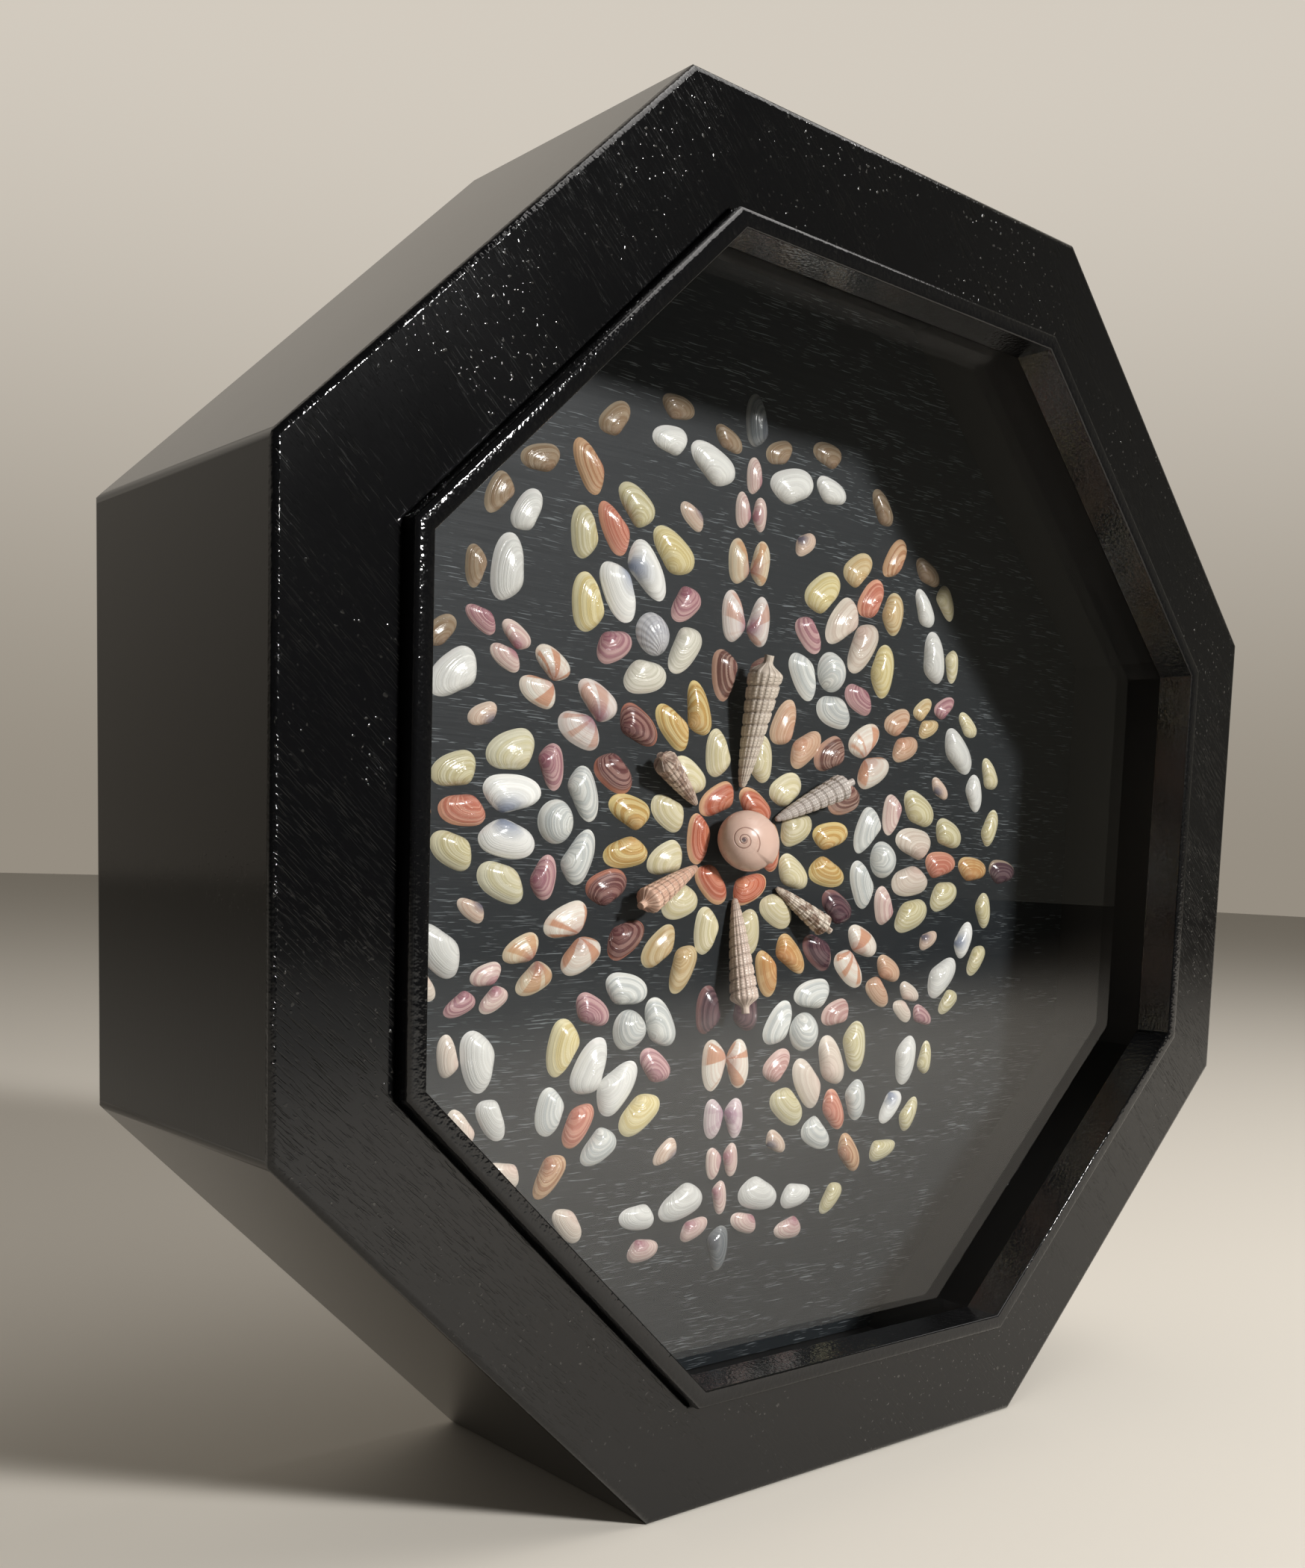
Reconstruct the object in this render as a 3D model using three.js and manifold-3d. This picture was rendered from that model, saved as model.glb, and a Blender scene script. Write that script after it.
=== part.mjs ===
// A framed shell mosaic: a rosette of glued sea shells on a black board, behind glass, in a deep
// octagonal wooden case. Millimetres. The case stands on its bottom flat, +Z is up, the front faces
// -Y, and the origin is in the middle of the underside.
import * as THREE from 'three';
import { mergeVertices } from 'three/addons/utils/BufferGeometryUtils.js';
import Module from 'manifold-3d';

const wasm = await Module();
wasm.setup();

// Case
const acrossFlats = 305;        // outside, from flat to flat
const caseDepth = 82;           // from the face to the back edge
const wallThickness = 12;
const faceThickness = 9;
const faceWidth = 25;           // from the outer edge of the face to its opening
const fitGap = 0.3;             // left between pieces that touch

// Lip round the glass
const lipThickness = 4;
const lipProud = 4.1;           // how far the lip stands in front of the face
const lipEase = 1.1;            // softened front corner on the outside of the lip

// Glass
const glassThickness = 2;
const glassRecess = 6.7;        // from the face back to the glass
const glassRebate = 3.6;        // how far the rebate behind the face runs past its opening

// Board
const boardThickness = 6;
const boardRecess = 49;         // from the face back to the board's surface

// Rosette
const rosetteAcross = -1.6;     // its centre is a little off the middle of the board
const rosetteUp = -1.9;
const rosetteNarrow = 0.97;     // laid a little narrower than high
const shellMargin = 2.9;        // bare board between the longest arm and the lip
const domeShare = 0.36;         // height of a glued shell as a share of its width
const shellRoot = 0.6;          // how far a glued shell's edge is bedded in the board

// A coquina's outline from above, in shares of half its length and half its breadth: from the
// full end past the blunt corner of the hinge to the narrow end, and back along the open edge.
const coquinaOutline = [
  [1, -0.25], [0.8, 0.42], [0.4, 1], [-0.5, 0.66], [-1, 0.08], [-0.8, -0.58], [0.1, -1],
  [0.74, -0.8],
];
const outlineSteps = coquinaOutline.length;

// The hand-laid arms lean a little. Directions are in degrees, counterclockwise from the right.
const petalArms = [-2.2, 54.3, 120.5, 176.9, 234.7, 300.2];
const rayArms = [27.2, 88.5, 149.5, 204.9, 269.8, 328.9];

// Courses of shells, inside outwards. out and side place a shell along and beside its arm, and
// a shell with a side is laid as a mirrored pair. turn is the direction of its full end, from
// the arm's own direction, and hinge is the side that its hinge is on, left or right of that.
const courses = [
  { arms: petalArms, out: 12.7, side: 0, turn: 92, long: 13.2, broad: 7.5, hinge: -1 },
  { arms: petalArms, out: 23, side: 6, turn: 210, long: 12.4, broad: 7.9, hinge: 1 },
  { arms: petalArms, out: 36.2, side: 5, turn: 192, long: 14, broad: 7.4, hinge: -1 },
  { arms: rayArms, out: 42.5, side: 6.9, turn: 4, long: 13.2, broad: 8, hinge: 1 },
  { arms: petalArms, out: 50.5, side: 7.3, turn: 66, long: 14, broad: 8.2, hinge: 1 },
  { arms: petalArms, out: 58.3, side: 0, turn: 0, long: 11, broad: 10.8, hinge: 0, round: true },
  { arms: petalArms, out: 60.5, side: 12.6, turn: 82, long: 11.6, broad: 7, hinge: 1 },
  { arms: petalArms, out: 71.4, side: 5.3, turn: 356, long: 16, broad: 8.7, hinge: 1 },
  { arms: petalArms, out: 72.6, side: 15.2, turn: 158, long: 14.8, broad: 8.6, hinge: -1 },
  { arms: petalArms, out: 84.8, side: 0, turn: 180, long: 13.4, broad: 7.3, hinge: 1 },
  { arms: petalArms, out: 87, side: 8.9, turn: 155, long: 12.6, broad: 7.8, hinge: -1 },
  { arms: petalArms, out: 99.4, side: 0, turn: 180, long: 13.4, broad: 6.8, hinge: 1 },
  { arms: [petalArms[0], petalArms[3]], out: 81, side: 22, turn: 149, long: 8.6, broad: 4.7, hinge: -1 },
  { arms: [rayArms[1], rayArms[4]], out: 79.6, side: 20.2, turn: 232, long: 9, broad: 5, hinge: -1 },
  { arms: rayArms, out: 57.3, side: 4.5, turn: 186, long: 13.6, broad: 7.6, hinge: -1 },
  { arms: rayArms, out: 71.8, side: 3.9, turn: 184, long: 11.4, broad: 6.5, hinge: -1 },
  { arms: rayArms, out: 83.7, side: 3.1, turn: 184, long: 9.3, broad: 5, hinge: -1 },
  { arms: rayArms, out: 93, side: 0, turn: 180, long: 9.5, broad: 5, hinge: 1 },
  { arms: rayArms, out: 93.2, side: 14.4, turn: 251, long: 15.6, broad: 8.5, hinge: 1 },
  { arms: rayArms, out: 95.4, side: 28.7, turn: 278, long: 11.8, broad: 6.6, hinge: 1 },
  { arms: rayArms, out: 100.4, side: 9, turn: 66, long: 10.1, broad: 5.5, hinge: -1 },
  { arms: rayArms, out: 104.1, side: 26.2, turn: 88, long: 11, broad: 6.1, hinge: -1 },
  { arms: petalArms, out: 106.2, side: 12.5, turn: 255, long: 11.5, broad: 6.2, hinge: 1 },
  { arms: [petalArms[0], petalArms[3]], out: 113.8, side: 0, turn: 180, long: 13, broad: 7.2, hinge: 1 },
  { arms: [rayArms[1], rayArms[4]], out: 107, side: 0, turn: 180, long: 13, broad: 7.1, hinge: 1 },
];

// Augers lie over the rays, each with its own length and girth, tip inwards. The courses' and
// augers' numbers are those of a rosette of the real size, which is spread to fit the board.
const augers = [
  { name: 'auger_right_upper', direction: 26.6, tip: 15.5, end: 41.5, girth: 7.2 },
  { name: 'auger_top', direction: 86.9, tip: 14.6, end: 48.6, girth: 9 },
  { name: 'auger_left_upper', direction: 146.5, tip: 17.3, end: 38, girth: 6.4 },
  { name: 'auger_left_lower', direction: 204, tip: 15, end: 40, girth: 7 },
  { name: 'auger_bottom', direction: 269.8, tip: 13.8, end: 44, girth: 7.6 },
  { name: 'auger_right_lower', direction: 324.5, tip: 18.8, end: 39, girth: 6.2 },
];
const augerSides = 7;
const augerWhorls = 6;
const augerStep = 0.86;         // girth just under a suture as a share of the whorl's own
const augerSpire = 0.86;        // share of the length that the whorls take, before the mouth
const augerCrowding = 1.35;     // whorls grow longer towards the mouth
const augerSwell = 0.58;        // below 1, the spire bulges instead of being a straight cone
const augerSuture = 0.025;      // half the groove between two whorls, as a share of the spire
const augerApex = 0.12;         // the first whorl starts this wide, as a share of the girth
const augerMouth = 0.35;
const augerLift = 2.4;          // an auger's thick end rests on the shells beside its ray
const snailWidth = 18.4;
const snailHeight = 13.5;
const snailNarrow = 0.87;       // breadth as a share of width
const snailGrowth = 0.12;       // how much its last whorl widens round one turn
const snailTurn = -15;
const snailLip = -25;            // where its last whorl ends, from its own long axis
const snailAcross = -2.6;       // the snail lies a little off the middle of the rosette
const snailUp = -1.1;

const eighth = Math.PI / 4;
const faceFront = -(caseDepth + lipProud) / 2 + lipProud;
const outerFlat = acrossFlats / 2;
const openingFlat = outerFlat - faceWidth;
const innerFlat = outerFlat - wallThickness;
const boardFront = faceFront + boardRecess;
const lipInner = openingFlat - fitGap - lipThickness;
const courseReach = Math.max(...courses.map((course) => course.out + course.long / 2));
const spread = (lipInner - shellMargin) / courseReach;
const sideNames = ['right', 'upper_right', 'top', 'upper_left', 'left', 'lower_left', 'bottom',
  'lower_right'];

const blackPaint = new THREE.MeshStandardMaterial({ color: 0x14151a, roughness: 0.38, metalness: 0 });
const boardPaint = new THREE.MeshStandardMaterial({ color: 0x24262a, roughness: 0.5, metalness: 0 });
const augerShell = new THREE.MeshStandardMaterial({ color: 0xcdb9a4, roughness: 0.45, metalness: 0 });
const snailShell = new THREE.MeshStandardMaterial({ color: 0xd9b7a0, roughness: 0.25, metalness: 0 });
const clearGlass = new THREE.MeshStandardMaterial({
  color: 0xf2f6f5, roughness: 0.03, metalness: 0, transparent: true, opacity: 0.25,
});

function degrees(angle) {
  return THREE.MathUtils.degToRad(angle);
}

function toSolid(geometry) {
  const bare = new THREE.BufferGeometry();
  bare.setAttribute('position', geometry.getAttribute('position').clone());
  if (geometry.index) bare.setIndex(geometry.index.clone());
  const merged = mergeVertices(bare, 1e-4);
  return new wasm.Manifold(new wasm.Mesh({
    numProp: 3,
    vertProperties: new Float32Array(merged.attributes.position.array),
    triVerts: new Uint32Array(merged.index.array),
  }));
}

function toGeometry(solid) {
  const mesh = solid.getMesh();
  const geometry = new THREE.BufferGeometry();
  geometry.setAttribute('position', new THREE.BufferAttribute(new Float32Array(mesh.vertProperties), 3));
  geometry.setIndex(new THREE.BufferAttribute(new Uint32Array(mesh.triVerts), 1));
  geometry.computeVertexNormals();
  return geometry;
}

function octagon(flat) {
  const corner = flat / Math.cos(eighth / 2);
  const shape = new THREE.Shape();
  for (let i = 0; i < 8; i += 1) {
    const angle = (i + 0.5) * eighth;
    const point = [corner * Math.cos(angle), corner * Math.sin(angle)];
    if (i === 0) shape.moveTo(...point);
    else shape.lineTo(...point);
  }
  shape.closePath();
  return shape;
}

// A flat shape in the plane of the face, given thickness from front to back.
function slab(shape, front, back) {
  const geometry = new THREE.ExtrudeGeometry(shape, { depth: back - front, bevelEnabled: false });
  geometry.rotateX(Math.PI / 2);
  geometry.translate(0, back, 0);
  return geometry;
}

// One eighth of the octagon round the right-hand flat, with half a fit gap at each mitre.
function mitredShape(inner, outer) {
  const half = (flat) => flat * Math.tan(eighth / 2) - fitGap / 2 / Math.cos(eighth / 2);
  const shape = new THREE.Shape();
  shape.moveTo(inner, -half(inner));
  shape.lineTo(outer, -half(outer));
  shape.lineTo(outer, half(outer));
  shape.lineTo(inner, half(inner));
  shape.closePath();
  return shape;
}

function sideBoard() {
  return slab(mitredShape(innerFlat, outerFlat), faceFront + faceThickness + fitGap, faceFront + caseDepth);
}

function facePanel() {
  const ring = octagon(outerFlat);
  ring.holes.push(octagon(openingFlat));
  const panel = toSolid(slab(ring, faceFront, faceFront + faceThickness));
  const rebateFront = faceFront + glassRecess - fitGap;
  const rebate = toSolid(slab(octagon(openingFlat + glassRebate), rebateFront, faceFront + caseDepth));
  return toGeometry(panel.subtract(rebate));
}

// The lip's section turned about the axis in eight flats, and one eighth cut from it.
function lipStrip() {
  const toCorner = 1 / Math.cos(eighth / 2);
  const outer = openingFlat - fitGap;
  const inner = lipInner;
  const front = faceFront - lipProud;
  const back = faceFront + glassRecess - fitGap;
  const section = [
    [inner, front], [outer - lipEase, front], [outer, front + lipEase], [outer, back], [inner, back],
    [inner, front],
  ];
  const points = section.map(([flat, depth]) => new THREE.Vector2(flat * toCorner, depth));
  const ring = toSolid(new THREE.LatheGeometry(points, 8, eighth / 2));
  const wedge = toSolid(slab(mitredShape(inner - lipThickness, outer + lipThickness), front - 1, back + 1));
  return toGeometry(ring.intersect(wedge));
}

function glassPane() {
  const front = faceFront + glassRecess;
  return slab(octagon(openingFlat + glassRebate - fitGap), front, front + glassThickness);
}

// The board's own plane: x to the right, y up, z out of the board towards the glass.
function onBoard(x, y, angle) {
  const across = new THREE.Vector3(Math.cos(angle), 0, Math.sin(angle));
  const up = new THREE.Vector3(-Math.sin(angle), 0, Math.cos(angle));
  const out = new THREE.Vector3(0, -1, 0);
  return new THREE.Matrix4().makeBasis(across, up, out).setPosition(x, boardFront, y);
}

// Steady small differences between hand-laid shells, from -1 to 1.
function unevenness(number) {
  const wave = Math.sin(number * 12.9898) * 43758.5453;
  return 2 * (wave - Math.floor(wave)) - 1;
}

function onRosette(out, side, direction) {
  const across = out * Math.cos(direction) + side * Math.sin(direction);
  const up = out * Math.sin(direction) - side * Math.cos(direction);
  return { x: rosetteAcross + rosetteNarrow * spread * across, y: rosetteUp + spread * up };
}

function placedShells() {
  const placed = [];
  courses.forEach((course) => {
    course.arms.forEach((arm) => {
      const sides = course.side ? [1, -1] : [1];
      sides.forEach((mirror) => {
        const number = placed.length + 1;
        const direction = degrees(arm);
        const out = course.out + 0.5 * unevenness(number);
        const side = mirror * course.side + 0.3 * unevenness(number + 0.3);
        placed.push({
          ...onRosette(out, side, direction),
          angle: direction - mirror * degrees(course.turn) + degrees(4) * unevenness(number + 0.6),
          mirror,
          long: spread * course.long * (1 + 0.04 * unevenness(number + 0.8)),
          broad: spread * course.broad * (1 + 0.04 * unevenness(number + 0.9)),
          hinge: course.hinge,
        });
      });
    });
  });
  return placed;
}

// The outline's point at one of its steps; a shell with no hinge corner is round.
function outlinePoint(step, shell) {
  if (shell.hinge === 0) {
    const turn = (2 * Math.PI * step) / outlineSteps;
    return [Math.cos(turn), Math.sin(turn)];
  }
  const place = (step * shell.hinge + outlineSteps) % outlineSteps;
  const [along, sideways] = coquinaOutline[place];
  return [along, sideways * shell.hinge];
}

// One valve, hollow side down, as a low dome.
function valve(shell, extra) {
  const geometry = new THREE.SphereGeometry(1, outlineSteps, 4);
  geometry.rotateX(Math.PI / 2);
  const spots = geometry.getAttribute('position');
  const poleBand = 0.1;
  for (let i = 0; i < spots.count; i += 1) {
    const height = spots.getZ(i);
    const reach = Math.hypot(spots.getX(i), spots.getY(i));
    const turn = Math.atan2(spots.getY(i), spots.getX(i));
    const [along, sideways] = outlinePoint(Math.round((turn / (2 * Math.PI)) * outlineSteps), shell);
    const wide = height < -poleBand && reach > poleBand ? 1 : reach;
    const x = wide * (shell.long / 2 + extra) * along;
    const y = wide * (shell.broad / 2 + extra) * sideways * shell.mirror;
    const dome = Math.max(height, 0) * (shell.broad * domeShare + extra);
    const z = height < -poleBand ? -shellRoot : dome;
    spots.setXYZ(i, x, y, Math.abs(height) < poleBand ? 0 : z);
  }
  if (shell.mirror < 0) turnInsideOut(geometry);
  return geometry.applyMatrix4(onBoard(shell.x, shell.y, shell.angle));
}

function turnInsideOut(geometry) {
  const order = geometry.index.array;
  for (let i = 0; i < order.length; i += 3) {
    const first = order[i];
    order[i] = order[i + 1];
    order[i + 1] = first;
  }
}

function shellBoard(shells) {
  let solid = toSolid(slab(octagon(innerFlat - fitGap), boardFront, boardFront + boardThickness));
  shells.forEach((shell) => {
    solid = solid.add(toSolid(valve(shell, 0)));
  });
  return toGeometry(solid);
}

// The room that the glued shells need, with the fit gap, cut from what lies on them.
function shellRoom(shells, middle, reach) {
  const near = shells.filter((shell) => Math.hypot(shell.x - middle.x, shell.y - middle.y) < reach);
  let room = toSolid(valve(near[0], fitGap));
  near.slice(1).forEach((shell) => {
    room = room.add(toSolid(valve(shell, fitGap)));
  });
  return room;
}

function augerGeometry(auger) {
  const length = spread * (auger.end - auger.tip);
  const radius = spread * auger.girth / 2;
  const spire = length * augerSpire;
  const outline = [new THREE.Vector2(0, 0)];
  for (let whorl = 1; whorl <= augerWhorls; whorl += 1) {
    const start = ((whorl - 1) / augerWhorls) ** augerCrowding;
    const end = (whorl / augerWhorls) ** augerCrowding;
    const neck = radius * augerStep * (augerApex + (1 - augerApex) * start ** augerSwell);
    outline.push(new THREE.Vector2(neck, spire * (start + augerSuture)));
    outline.push(new THREE.Vector2(radius * end ** augerSwell, spire * (end - augerSuture)));
  }
  outline.push(new THREE.Vector2(radius * augerMouth, length), new THREE.Vector2(0, length));
  const geometry = new THREE.LatheGeometry(outline, augerSides);
  geometry.rotateZ(-Math.PI / 2);
  geometry.rotateY(-Math.atan2(radius + augerLift, length));
  const direction = degrees(auger.direction);
  const tip = onRosette(auger.tip, 0, direction);
  geometry.translate(0, 0, radius * augerMouth);
  return geometry.applyMatrix4(onBoard(tip.x, tip.y, direction));
}

function snailGeometry() {
  const geometry = new THREE.SphereGeometry(1, 14, 8);
  geometry.rotateX(Math.PI / 2);
  const spots = geometry.getAttribute('position');
  for (let i = 0; i < spots.count; i += 1) {
    const height = spots.getZ(i);
    const reach = Math.hypot(spots.getX(i), spots.getY(i));
    const turn = Math.atan2(spots.getY(i), spots.getX(i));
    const round = 1 - (((turn - degrees(snailLip)) / (2 * Math.PI) + 1) % 1);
    const radius = reach * (1 - snailGrowth * (1 - round)) * snailWidth / 2;
    spots.setXYZ(
      i,
      radius * Math.cos(turn),
      snailNarrow * radius * Math.sin(turn),
      (height + 1) * 0.5 * snailHeight + fitGap,
    );
  }
  return geometry.applyMatrix4(onBoard(snailAcross, snailUp, degrees(snailTurn)));
}

function addPiece(group, name, geometry, material) {
  const mesh = new THREE.Mesh(geometry, material);
  mesh.name = name;
  group.add(mesh);
  return mesh;
}

function buildMosaic() {
  const whole = new THREE.Group();
  const shells = placedShells();

  // Everything is drawn about the axis of the octagon, which is lifted to stand on its flat.
  const drawn = new THREE.Group();
  drawn.position.z = outerFlat;
  whole.add(drawn);

  const board = sideBoard();
  const strip = lipStrip();
  sideNames.forEach((place, i) => {
    addPiece(drawn, `side_${place}`, board, blackPaint).rotation.y = -i * eighth;
    addPiece(drawn, `lip_${place}`, strip, blackPaint).rotation.y = -i * eighth;
  });
  addPiece(drawn, 'face_panel', facePanel(), blackPaint);
  addPiece(drawn, 'glass_pane', glassPane(), clearGlass);
  addPiece(drawn, 'shell_board', shellBoard(shells), boardPaint);

  augers.forEach((auger) => {
    const middle = onRosette((auger.tip + auger.end) / 2, 0, degrees(auger.direction));
    const room = shellRoom(shells, middle, auger.end - auger.tip);
    addPiece(drawn, auger.name, toGeometry(toSolid(augerGeometry(auger)).subtract(room)), augerShell);
  });
  const snailRoom = shellRoom(shells, { x: snailAcross, y: snailUp }, snailWidth);
  const snail = toSolid(snailGeometry()).subtract(snailRoom);
  addPiece(drawn, 'moon_snail', toGeometry(snail), snailShell);
  return whole;
}

export default buildMosaic();
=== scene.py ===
import math
import bmesh
import bpy
from mathutils import Matrix, Vector


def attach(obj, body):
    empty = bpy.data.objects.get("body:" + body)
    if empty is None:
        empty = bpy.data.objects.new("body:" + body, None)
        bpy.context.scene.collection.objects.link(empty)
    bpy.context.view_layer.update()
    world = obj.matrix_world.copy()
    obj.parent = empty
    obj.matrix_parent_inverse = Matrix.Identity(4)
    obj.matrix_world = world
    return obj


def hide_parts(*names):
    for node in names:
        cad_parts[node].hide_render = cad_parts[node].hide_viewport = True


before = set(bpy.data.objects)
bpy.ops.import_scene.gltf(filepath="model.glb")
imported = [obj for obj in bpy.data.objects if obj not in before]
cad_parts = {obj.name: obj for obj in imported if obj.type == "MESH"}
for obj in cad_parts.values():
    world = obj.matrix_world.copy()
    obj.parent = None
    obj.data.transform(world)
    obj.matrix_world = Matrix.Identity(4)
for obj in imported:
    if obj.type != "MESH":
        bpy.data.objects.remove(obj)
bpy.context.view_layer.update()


# small helpers
def linear(red, green, blue):  # a colour as picked on screen, 0 to 255, as light
    def one(value):
        value = value / 255
        return value / 12.92 if value <= 0.04045 else ((value + 0.055) / 1.055) ** 2.4
    return (one(red), one(green), one(blue), 1.0)


class Wire:  # a socket that sums can be written with; each step adds its Math node
    def __init__(self, nodes, socket):
        self.nodes = nodes
        self.socket = socket

    def __add__(self, other):
        return self.nodes.maths("ADD", self, other)

    def __radd__(self, other):
        return self.nodes.maths("ADD", other, self)

    def __sub__(self, other):
        return self.nodes.maths("SUBTRACT", self, other)

    def __rsub__(self, other):
        return self.nodes.maths("SUBTRACT", other, self)

    def __mul__(self, other):
        return self.nodes.maths("MULTIPLY", self, other)

    def __rmul__(self, other):
        return self.nodes.maths("MULTIPLY", other, self)

    def __truediv__(self, other):
        return self.nodes.maths("DIVIDE", self, other)

    def __rtruediv__(self, other):
        return self.nodes.maths("DIVIDE", other, self)


class Nodes:  # a node tree, with one method that adds any node
    def __init__(self, tree):
        self.tree = tree

    def node(self, kind, settings=None, sockets=None, output=0):
        made = self.tree.nodes.new(kind)
        for key, value in (settings or {}).items():
            setattr(made, key, value)
        for key, value in (sockets or {}).items():
            self.feed(made.inputs[key], value)
        return Wire(self, made.outputs[output])

    def maths(self, operation, *values):
        return self.node("ShaderNodeMath", {"operation": operation}, dict(enumerate(values)))

    def split(self, vector):  # the three numbers of a vector
        parts = self.node("ShaderNodeSeparateXYZ", {}, {0: vector})
        return [Wire(self, socket) for socket in parts.socket.node.outputs]

    def feed(self, socket, value):
        if isinstance(value, Wire):
            self.tree.links.new(value.socket, socket)
        else:
            socket.default_value = value

    def attribute(self, name, output=0):
        return self.node("ShaderNodeAttribute", {"attribute_name": name}, {}, output)

    def place(self):
        return self.node("ShaderNodeTexCoord", {}, {}, 3)

    def stretched(self, vector, scale):  # the same place, counted in other units each way
        return self.node("ShaderNodeVectorMath", {"operation": "MULTIPLY"}, {0: vector, 1: scale})

    def noise(self, vector, scale, detail=2.0, roughness=0.5, distortion=0.0):
        return self.node("ShaderNodeTexNoise", {}, {"Vector": vector, "Scale": scale, "Detail": detail,
                                                    "Roughness": roughness, "Distortion": distortion})

    def ripple(self, value, detail=1.0):  # noise along one number
        return self.node("ShaderNodeTexNoise", {"noise_dimensions": "1D"},
                         {"W": value, "Scale": 1.0, "Detail": detail})

    def step(self, value, low, high):  # 0 below low, 1 above high, smooth between
        return self.node("ShaderNodeMapRange", {"interpolation_type": "SMOOTHSTEP"},
                         {"Value": value, "From Min": low, "From Max": high})

    def mix(self, factor, first, second, blend="MIX"):
        return self.node("ShaderNodeMix", {"data_type": "RGBA", "blend_type": blend},
                         {0: factor, 6: first, 7: second}, 2)

    def bump(self, height, distance, strength=1.0):
        return self.node("ShaderNodeBump", {}, {"Height": height, "Distance": distance, "Strength": strength})


class Finish(Nodes):  # a material; plain holds the values that are the same all over it
    def __init__(self, name, plain):
        self.material = bpy.data.materials.new(name)
        self.material.use_nodes = True
        self.shader = self.material.node_tree.nodes["Principled BSDF"]
        super().__init__(self.material.node_tree)
        for socket, value in plain.items():
            self.shader.inputs[socket].default_value = value

    def finishWith(self, **links):
        for socket, value in links.items():
            self.feed(self.shader.inputs[socket.replace("_", " ")], value)
        return self.material


def makePiece(name, mesh, material, nodes):
    built = bpy.data.meshes.new(name)
    mesh.to_mesh(built)
    mesh.free()
    piece = bpy.data.objects.new(name, built)
    bpy.context.scene.collection.objects.link(piece)
    built.materials.append(material)
    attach(piece, "root")
    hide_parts(*nodes)
    return piece


def addSubdivision(piece, levels):
    smoother = piece.modifiers.new("smoother", "SUBSURF")
    smoother.levels = levels
    smoother.render_levels = levels


# camera, fitted to the corners of the octagon
viewSettings = {
    "place": (-0.27685, -0.29848, 0.14636),
    "turn": (83.98, -2.14, -42.29),
    "lens": 36.39,
    "sensor": 36.0,
    "shift": (-0.061, 0.156),
}


def setCamera(settings):
    lens = bpy.data.cameras.new("photoView")
    lens.sensor_fit = "VERTICAL"
    lens.sensor_height = settings["sensor"]
    lens.lens = settings["lens"]
    lens.shift_x, lens.shift_y = settings["shift"]
    lens.clip_start = 0.01
    camera = bpy.data.objects.new("photoView", lens)
    camera.location = settings["place"]
    camera.rotation_euler = [math.radians(angle) for angle in settings["turn"]]
    bpy.context.scene.collection.objects.link(camera)
    bpy.context.scene.camera = camera


setCamera(viewSettings)
print("camera set")


# case: the eight sides and the face as one painted piece
millimetre = 0.001
axisHeight = 0.1525  # half the way across the flats
halfCorner = math.radians(22.5)
nearEnough = 2e-5  # how far off an edge may lie and still be the one that is meant

caseSettings = {
    "section": [  # distance from the axis to the flat, and depth, both in mm
        (127.5, -38.95), (152.5, -38.95), (152.5, 43.05), (140.5, 43.05),
        (140.5, -29.95), (131.1, -29.95), (131.1, -32.55), (127.5, -32.55),
    ],
    "frontEase": 1.4,
    "openingEase": 0.5,
    "rearEase": 2.4,
    "cornerEase": 1.3,
    "faceGrainTurn": -43,
    "sideOpenness": 0.12,  # how much of the face's open grain the sides show
    "boardShift": 0.37,  # moves the grain on from board to board
    "paint": linear(10, 10, 11),
    "pore": linear(3, 3, 3),
    # the lighter colour of dust specks, which also stand in as painted glints
    "dust": linear(84, 82, 78),
    # the colour of the painted shade on the inner walls behind the glass
    "unlit": linear(0, 0, 0),
    "gloss": 0.07,
    "pores": (170, 2300, 1),  # counts a metre, along and across the grain
    "coarsePores": (30, 130, 1),
    "clouds": 26.0,
    "waves": 300.0,
    "specks": 900.0,
    "nibs": 1100.0,
    "relief": 0.00005,
}


def octagonRing(section):  # the section spun about the axis in eight flats
    ring = bmesh.new()
    corners = []
    for flat, depth in section:
        flat = flat * millimetre
        corners.append(ring.verts.new((flat, depth * millimetre, axisHeight + flat * math.tan(halfCorner))))
    for here, there in zip(corners, corners[1:] + corners[:1]):
        ring.edges.new((here, there))
    bmesh.ops.spin(ring, geom=ring.verts[:] + ring.edges[:], cent=(0, 0, axisHeight), axis=(0, 1, 0),
                   angle=2 * math.pi, steps=8, use_merge=True)
    bmesh.ops.remove_doubles(ring, verts=ring.verts[:], dist=1e-6)
    bmesh.ops.recalc_face_normals(ring, faces=ring.faces[:])
    return ring


def flatOf(point):  # how far a point is from the axis, counted square to its flat
    across, up = point.x, point.z - axisHeight
    turn = math.atan2(up, across)
    nearest = round(turn / (math.pi / 4)) * math.pi / 4
    return across * math.cos(nearest) + up * math.sin(nearest), nearest


def easeEdges(ring, width, segments, wanted):  # rounds the edges that the test wanted picks
    picked = [edge for edge in ring.edges if wanted(edge)]
    bmesh.ops.bevel(ring, geom=picked, offset=width * millimetre, offset_type="OFFSET", segments=segments,
                    profile=0.5, affect="EDGES", material=-1, clamp_overlap=True)


def runsRound(flat, depth):  # the test for an edge that runs round at this flat and depth
    def wanted(edge):
        return all(abs(flatOf(v.co)[0] - flat * millimetre) < nearEnough
                   and abs(v.co.y - depth * millimetre) < nearEnough for v in edge.verts)
    return wanted


def runsDeep(flat):  # the test for an outer corner edge that runs from front to back
    def wanted(edge):
        first, second = edge.verts[0].co, edge.verts[1].co
        outside = all(abs(flatOf(v.co)[0] - flat * millimetre) < nearEnough for v in edge.verts)
        return outside and abs(first.y - second.y) > 20 * millimetre
    return wanted
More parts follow.
